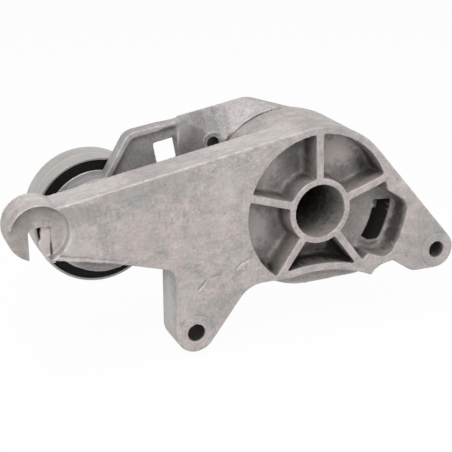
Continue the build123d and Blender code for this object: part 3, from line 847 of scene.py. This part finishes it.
def addStrokes(mesh, strokes):
    # raises or cuts the dense surface along short paths
    points, normals = pointsOf(mesh), normalsOf(mesh)
    for stroke in strokes:
        path = np.array(stroke["path"]) * mm
        gap = np.full(len(points), np.inf)
        for start, end in zip(path[:-1], path[1:]):
            along = end - start
            share = np.clip(((points - start) @ along) / (along @ along), 0, 1)
            gap = np.minimum(gap, np.linalg.norm(points - start - share[:, None] * along, axis=1))
        pull = np.clip(1 - (gap / (stroke["width"] * mm)) ** 2, 0, 1) ** 2
        points = points + normals * (pull * stroke["height"] * mm)[:, None]
    putPoints(mesh, points)


def softenPlaces(mesh, places):
    edges = edgesOf(mesh)
    for place in places:
        points = pointsOf(mesh)
        gap = np.full(len(points), np.inf)
        for spot in place.get("path") or [place["place"]]:
            away = np.linalg.norm(points - np.array(spot) * mm, axis=1) / (place["reach"] * mm)
            gap = np.minimum(gap, away)
        near = np.flatnonzero(gap < softenForm["near"])
        order = np.full(len(points), -1)
        order[near] = np.arange(len(near))
        local = order[edges[(order[edges] >= 0).all(axis=1)]]
        count = neighbourCount(local, len(near))
        weight = np.clip(softenForm["edge"] - gap[near], 0, 1)[:, None] * softenForm["pull"]
        part = points[near].astype(float)
        for step in range(place["steps"]):
            part += (neighbourMiddle(part, local, count) - part) * weight
        points[near] = part
        putPoints(mesh, points)


def finished(piece):
    graph = bpy.context.evaluated_depsgraph_get()
    mesh = bpy.data.meshes.new_from_object(piece.evaluated_get(graph))
    piece.modifiers.clear()
    piece.data = mesh
    return piece


def placed(name, mesh):
    piece = bpy.data.objects.new(name, mesh)
    bpy.context.collection.objects.link(piece)
    return piece


def mergedCopy(nodeName, pieceName, forms):
    # the frame's meshes are loose triangles, so a copy is merged before it is worked on
    mesh = cadNodes[nodeName].data.copy()
    form = bmesh.new()
    form.from_mesh(mesh)
    bmesh.ops.remove_doubles(form, verts=form.verts, dist=weldGap)
    for move in forms["moves"]:
        for vertex in form.verts:
            sides = zip(move["low"], vertex.co, move["high"])
            if all(low * mm < value < high * mm for low, value, high in sides):
                vertex.co += Vector(move["shift"]) * mm
    addFills(form, forms["fills"])
    form.to_mesh(mesh)
    form.free()
    return placed(pieceName, mesh)


def dress(piece, nodeName, body, material):
    piece.data.materials.clear()
    piece.data.materials.append(material)
    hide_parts(nodeName)
    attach(piece, body)


def castMasks(piece, bend, forms):
    points = pointsOf(piece.data)
    paintedShade = insideBoxes(points, forms["paintedShade"])
    upward = (normalsOf(piece.data)[:, 2] - castForm["upwardFrom"]) / castForm["upwardSpan"]
    return {
        # convex edges: burnish and a painted highlight, none inside the painted shade boxes
        "edgeWearAndHighlightMask": bend * castForm["edgeGain"] * (paintedShade <= 0),
        # corners and hollows: painted shade, with some soot
        "cornerShadeMask": -bend * castForm["cornerGain"],
        "hollowShadeMask": hollowOf(piece) * (1 + paintedShade),
        # upward faces in the boxes: rubbed streaks with a painted top light
        "streakAndTopLightMask": insideBoxes(points, forms["streakAndTopLight"]) * upward,
    }


def softCasting(nodeName, pieceName, forms):
    piece = mergedCopy(nodeName, pieceName, forms)
    remesh = piece.modifiers.new("cells", "REMESH")
    remesh.mode = "VOXEL"
    remesh.voxel_size = castForm["voxel"]
    soften = piece.modifiers.new("soften", "SMOOTH")
    soften.factor = castForm["smoothPull"]
    soften.iterations = castForm["smoothSteps"]
    finished(piece)
    softenPlaces(piece.data, forms["soften"])
    addStrokes(piece.data, forms["strokes"])
    # the bend is read from the dense mesh, and the thinned one takes it from the nearest points
    bend = bendOf(piece.data, castForm["voxel"])
    dense = KDTree(len(bend))
    for index, point in enumerate(pointsOf(piece.data)):
        dense.insert(point, index)
    dense.balance()
    thin = piece.modifiers.new("thin", "DECIMATE")
    thin.ratio = min(1.0, castForm["triangles"] / (2 * len(piece.data.polygons)))
    thin.use_collapse_triangulate = True
    finished(piece)
    bend = bend[[dense.find(vertex.co)[1] for vertex in piece.data.vertices]]
    for label, values in castMasks(piece, bend, forms).items():
        layer = piece.data.attributes.new(label, "FLOAT", "POINT")
        layer.data.foreach_set("value", np.clip(values, 0, 1).astype(np.float32))
    piece.data.polygons.foreach_set("use_smooth", [True] * len(piece.data.polygons))
    print(pieceName, "triangles", len(piece.data.polygons))
    return piece


castings = {
    "bracketCasting": {
        "node": "bracket_casting",
        "body": "bracket",
        "material": "bracketCastMetal",
        "finish": bracketFinish,
        "forms": bracketForms,
    },
    "armCasting": {
        "node": "arm_casting",
        "body": "arm",
        "material": "armCastMetal",
        "finish": armFinish,
        "forms": armForms,
    },
}


def makeCastings():
    for name, item in castings.items():
        piece = softCasting(item["node"], name, item["forms"])
        finish = dict(item["finish"], marks=item["forms"]["marks"])
        dress(piece, item["node"], item["body"], skinMaterial(item["material"], castSkin, finish))


# Turned and wound pieces, made by Geometry Nodes from their own sizes
pulleyAxis = {"Centre X": -121.5 * mm, "Centre Z": -3.5 * mm}
# outlines of turned pieces: radius, height along the axis, rounding of the corner, all in mm
turnedPieces = {
    "pulleyShell": {
        "node": "pulley_shell",
        "body": "pulley",
        "ring": 30.0,
        "outline": [
            (20.0, 51.0, 0.4), (23.4, 51.0, 0.7), (23.4, 56.0, 1.4), (35.1, 56.0, 1.4),
            (35.8, 45.0, 0.15), (37.15, 45.0, 0.25), (37.15, 58.0, 0.2), (37.5, 58.6, 0.2),
            (37.5, 71.6, 0.3), (36.6, 72.5, 0.3), (35.1, 72.5, 0.4), (35.1, 60.0, 1.4),
            (23.4, 60.0, 1.4), (23.4, 68.0, 0.7), (20.0, 68.0, 0.4),
        ],
    },
    "pulleyDustShield": {
        "node": "pulley_dust_shield",
        "body": "arm",
        "ring": 30.0,
        "outline": [
            (5.05, 45.6, 0), (35.0, 45.6, 0.3), (34.6, 49.4, 0.2), (33.3, 49.4, 0.2),
            (33.3, 48.4, 0.3), (5.05, 48.4, 0),
        ],
    },
}
# a thin steel disc that only the scene has
armWasher = {
    "ring": 20.0,
    "outline": [(5.05, 43.7, 0), (30.2, 43.7, 0.4), (30.2, 45.2, 0.3), (5.05, 45.2, 0)],
}
turnSteps = 192
spring = {
    "Wire": 3.22 * mm,
    "Radius": 33.2 * mm,
    "First": 27.25 * mm,
    "Rise": 25.9 * mm,
    "Turns": 3.5,
    "Steps": 190,
    "Sides": 14,
}
balls = {"Count": 8, "Circle": 14.25 * mm, "Radius": 3.37 * mm, "Middle": 58.0 * mm, "Detail": 3}


def newGeometryTree(name, sizes):
    # an int among the sizes makes a whole-number input
    tree = bpy.data.node_groups.new(name, "GeometryNodeTree")
    tree.interface.new_socket(name="Geometry", in_out="OUTPUT", socket_type="NodeSocketGeometry")
    tree.interface.new_socket(name="Geometry", in_out="INPUT", socket_type="NodeSocketGeometry")
    tree.interface.new_socket(name="Material", in_out="INPUT", socket_type="NodeSocketMaterial")
    for label, value in sizes.items():
        kind = "NodeSocketInt" if isinstance(value, int) else "NodeSocketFloat"
        socket = tree.interface.new_socket(name=label, in_out="INPUT", socket_type=kind)
        socket.default_value = value
    given = tree.nodes.new("NodeGroupInput").outputs
    end = addNode(tree, "GeometryNodeRealizeInstances")
    paint = addNode(tree, "GeometryNodeSetMaterial")
    join(tree, end.outputs[0], paint.inputs["Geometry"])
    join(tree, given["Material"], paint.inputs["Material"])
    join(tree, paint.outputs[0], tree.nodes.new("NodeGroupOutput").inputs[0])
    return tree, given, end.inputs[0]


def sized(tree, given, kind, sockets):
    # a node with some of its sockets joined to the tree's own inputs
    item = addNode(tree, kind)
    for socket, label in sockets.items():
        join(tree, given[label], item.inputs[socket])
    return item


def stoodUp(tree, given, shape, place):
    # turns a shape's Z axis to Y and moves it to its place
    turn = addNode(tree, "GeometryNodeTransform", in_Rotation=(-math.pi / 2, 0, 0))
    join(tree, shape.outputs[0], turn.inputs["Geometry"])
    spot = sized(tree, given, "ShaderNodeCombineXYZ", place)
    join(tree, spot.outputs[0], turn.inputs["Translation"])
    return turn.outputs[0]


def grown(pieceName, mesh, tree, sizes, material):
    # runs a tree on a mesh, its inputs set by their identifiers, and keeps the plain result
    piece = placed(pieceName, mesh)
    modifier = piece.modifiers.new("grow", "NODES")
    modifier.node_group = tree
    values = dict(sizes, Material=material)
    for item in tree.interface.items_tree:
        if item.in_out == "INPUT" and item.name in values:
            modifier[item.identifier] = values[item.name]
    finished(piece)
    print(pieceName, "faces", len(piece.data.polygons))
    return piece


def solidNormals(piece, angle=30):
    # edges sharper than the angle stay sharp in the shading
    form = bmesh.new()
    form.from_mesh(piece.data)
    bmesh.ops.remove_doubles(form, verts=form.verts, dist=weldGap)
    bmesh.ops.recalc_face_normals(form, faces=form.faces)
    for edge in form.edges:
        edge.smooth = edge.calc_face_angle(0) < math.radians(angle)
    for face in form.faces:
        face.smooth = True
    form.to_mesh(piece.data)
    form.free()
    return piece


def roundedOutline(corners, ring, steps=4):
    # the outline lies along X and Y, measured from the ring's own radius
    points = []
    for index, (radius, height, rounding) in enumerate(corners):
        here = Vector((radius, height))
        if not rounding:
            points.append(here)
            continue
        before = (Vector(corners[index - 1][:2]) - here).normalized() * rounding
        after = (Vector(corners[(index + 1) % len(corners)][:2]) - here).normalized() * rounding
        for step in range(steps + 1):
            share = step / steps
            points.append(here + before * (1 - share) ** 2 + after * share**2)
    mesh = bpy.data.meshes.new("outline")
    edges = [(i, (i + 1) % len(points)) for i in range(len(points))]
    mesh.from_pydata([((p.x - ring) * mm, -p.y * mm, 0) for p in points], edges, [])
    return mesh


def makeLatheTree():
    # turns the outline in the piece's own mesh round an axis along Y
    sizes = {"Ring": 0.03, "Turns": 96, "Centre X": 0.0, "Centre Z": 0.0}
    tree, given, result = newGeometryTree("turnOutline", sizes)
    outline = sized(tree, given, "GeometryNodeMeshToCurve", {"Mesh": "Geometry"})
    circle = {"Resolution": "Turns", "Radius": "Ring"}
    ring = sized(tree, given, "GeometryNodeCurvePrimitiveCircle", circle)
    shell = addNode(tree, "GeometryNodeCurveToMesh")
    join(tree, ring.outputs[0], shell.inputs["Curve"])
    join(tree, outline.outputs[0], shell.inputs["Profile Curve"])
    join(tree, stoodUp(tree, given, shell, {"X": "Centre X", "Z": "Centre Z"}), result)
    return tree


def makeHelixTree():
    # a wire of round section wound round the Y axis
    sizes = {
        "Wire": 0.003, "Radius": 0.03, "First": 0.0, "Rise": 0.02,
        "Turns": 3.0, "Steps": 100, "Sides": 12,
    }
    tree, given, result = newGeometryTree("windSpring", sizes)
    course = {
        "Resolution": "Steps",
        "Rotations": "Turns",
        "Start Radius": "Radius",
        "End Radius": "Radius",
        "Height": "Rise",
    }
    line = sized(tree, given, "GeometryNodeCurveSpiral", course)
    section = {"Resolution": "Sides", "Radius": "Wire"}
    ring = sized(tree, given, "GeometryNodeCurvePrimitiveCircle", section)
    tube = addNode(tree, "GeometryNodeCurveToMesh")
    tube.inputs["Fill Caps"].default_value = True
    join(tree, stoodUp(tree, given, line, {"Y": "First"}), tube.inputs["Curve"])
    join(tree, ring.outputs[0], tube.inputs["Profile Curve"])
    join(tree, tube.outputs[0], result)
    return tree


def makeBallTree():
    # balls evenly round a circle about an axis along Y
    sizes = {
        "Count": 8, "Circle": 0.014, "Radius": 0.003, "Detail": 3,
        "Centre X": 0.0, "Middle": 0.0, "Centre Z": 0.0,
    }
    tree, given, result = newGeometryTree("setBalls", sizes)
    circle = {"Vertices": "Count", "Radius": "Circle"}
    ring = sized(tree, given, "GeometryNodeMeshCircle", circle)
    globe = {"Radius": "Radius", "Subdivisions": "Detail"}
    ball = sized(tree, given, "GeometryNodeMeshIcoSphere", globe)
    setRound = addNode(tree, "GeometryNodeInstanceOnPoints")
    join(tree, ring.outputs[0], setRound.inputs["Points"])
    join(tree, ball.outputs[0], setRound.inputs["Instance"])
    place = {"X": "Centre X", "Y": "Middle", "Z": "Centre Z"}
    join(tree, stoodUp(tree, given, setRound, place), result)
    return tree


# Finishes of every piece but the castings
turnedSteel = {"group": turnedSkin, "metal": 0.85, "bump": 0.3, "relief": 0.04}
moulded = {"group": mouldedSkin, "metal": 0.0, "bump": 0.3, "relief": 0.06}
steelSkin = {
    "Colour": (0.42, 0.41, 0.40),
    "Light": (0.62, 0.61, 0.60),
    "DarkTone": (0.12, 0.11, 0.10),
    "Marks": 0.6,
    "Stain": 0.4,
}
pulleySteel = dict(steelSkin, **pulleyAxis)
oilSkin = {
    "Colour": (0.05, 0.05, 0.052),
    "Light": (0.12, 0.12, 0.12),
    "DarkTone": (0.02, 0.018, 0.015),
}
ridgeLine = {"Highlight At": 57.6 * mm}
plasticSkin = {
    "Colour": (0.014, 0.014, 0.015),
    "Dust": (0.13, 0.125, 0.12),
    "Grain": 0.5,
    "Wear": 0.5,
}
pieceFinishes = {
    "pulleyMetal": dict(
        turnedSteel,
        metal=0.55,
        bump=0.35,
        relief=0.05,
        skin=dict(pulleySteel, Colour=(0.345, 0.325, 0.31), Light=(0.62, 0.59, 0.57), **ridgeLine),
        nodes=["pulley_shell"],
    ),
    "blackShield": dict(
        moulded,
        shine=0.15,
        skin=dict(plasticSkin, Colour=(0.0045, 0.0036, 0.0032), Dust=(0.022, 0.018, 0.016), Wear=0.8),
        nodes=["pulley_dust_shield"],
    ),
    "oiledSpring": dict(
        turnedSteel,
        metal=0.7,
        relief=0.05,
        skin=dict(oilSkin, Marks=0.6, Stain=0.4),
        nodes=["torsion_spring"],
    ),
    "blackPlastic": dict(moulded, skin=plasticSkin, nodes=["spring_seat", "pulley_dust_cap"]),
    "greyPlastic": dict(
        moulded,
        skin=dict(plasticSkin, Colour=(0.028, 0.026, 0.024)),
        nodes=["damping_ring", "friction_washer"],
    ),
    "tanPlastic": dict(
        moulded,
        skin=dict(plasticSkin, Colour=(0.19, 0.145, 0.08), Dust=(0.10, 0.08, 0.05)),
        nodes=["pivot_bush"],
    ),
    "brownCage": dict(
        moulded,
        skin=dict(plasticSkin, Colour=(0.085, 0.055, 0.026), Dust=(0.06, 0.045, 0.03)),
        nodes=["bearing_cage"],
    ),
    "sealRubber": dict(
        moulded,
        relief=0.05,
        skin=dict(plasticSkin, Wear=0.25),
        nodes=["bearing_seal_front", "bearing_seal_rear"],
    ),
    "hubPlate": dict(
        turnedSteel,
        skin=dict(steelSkin, Stain=0.5),
        nodes=["thrust_plate", "hub_dust_cap", "damper_band"],
    ),
    "boltPlate": dict(
        turnedSteel,
        skin=dict(pulleySteel, Stain=0.5),
        nodes=["pulley_sleeve", "pulley_bolt"],
    ),
    "bearingSteel": dict(
        turnedSteel,
        metal=1.0,
        bump=0.2,
        relief=0.02,
        skin=dict(pulleySteel, Colour=(0.56, 0.56, 0.56), Light=(0.7, 0.7, 0.7), Marks=0.3, Stain=0.15),
        nodes=["bearing_outer_ring", "bearing_inner_ring", "bearing_balls"],
    ),
}


def paintNodes():
    given = {}
    for name, finish in pieceFinishes.items():
        material = skinMaterial(name, finish["group"], finish)
        for node in finish["nodes"]:
            given[node] = material
            mesh = cadNodes[node].data
            mesh.materials.clear()
            mesh.materials.append(material)
    return given


def turned(name, item, lathe, material):
    sizes = dict(pulleyAxis, Ring=item["ring"] * mm, Turns=turnSteps)
    outline = roundedOutline(item["outline"], item["ring"])
    return solidNormals(grown(name, outline, lathe, sizes, material))


def makeTurnedPieces(given):
    lathe = makeLatheTree()
    for name, item in turnedPieces.items():
        material = given[item["node"]]
        dress(turned(name, item, lathe, material), item["node"], item["body"], material)
    washer = turned("armWasher", armWasher, lathe, given["pulley_sleeve"])
    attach(washer, "arm")


def makeWoundPieces(given):
    empty = bpy.data.meshes.new("empty")
    wire = given["torsion_spring"]
    coil = grown("torsionSpring", empty, makeHelixTree(), spring, wire)
    dress(solidNormals(coil), "torsion_spring", "bracket", wire)
    steel = given["bearing_balls"]
    setOfBalls = grown("bearingBalls", empty, makeBallTree(), dict(balls, **pulleyAxis), steel)
    dress(solidNormals(setOfBalls, 60), "bearing_balls", "cage", steel)


makeCamera()
makeStudio()
print("camera and studio ready")
makeCastings()
nodeMaterials = paintNodes()
makeTurnedPieces(nodeMaterials)
makeWoundPieces(nodeMaterials)
print("pieces ready")
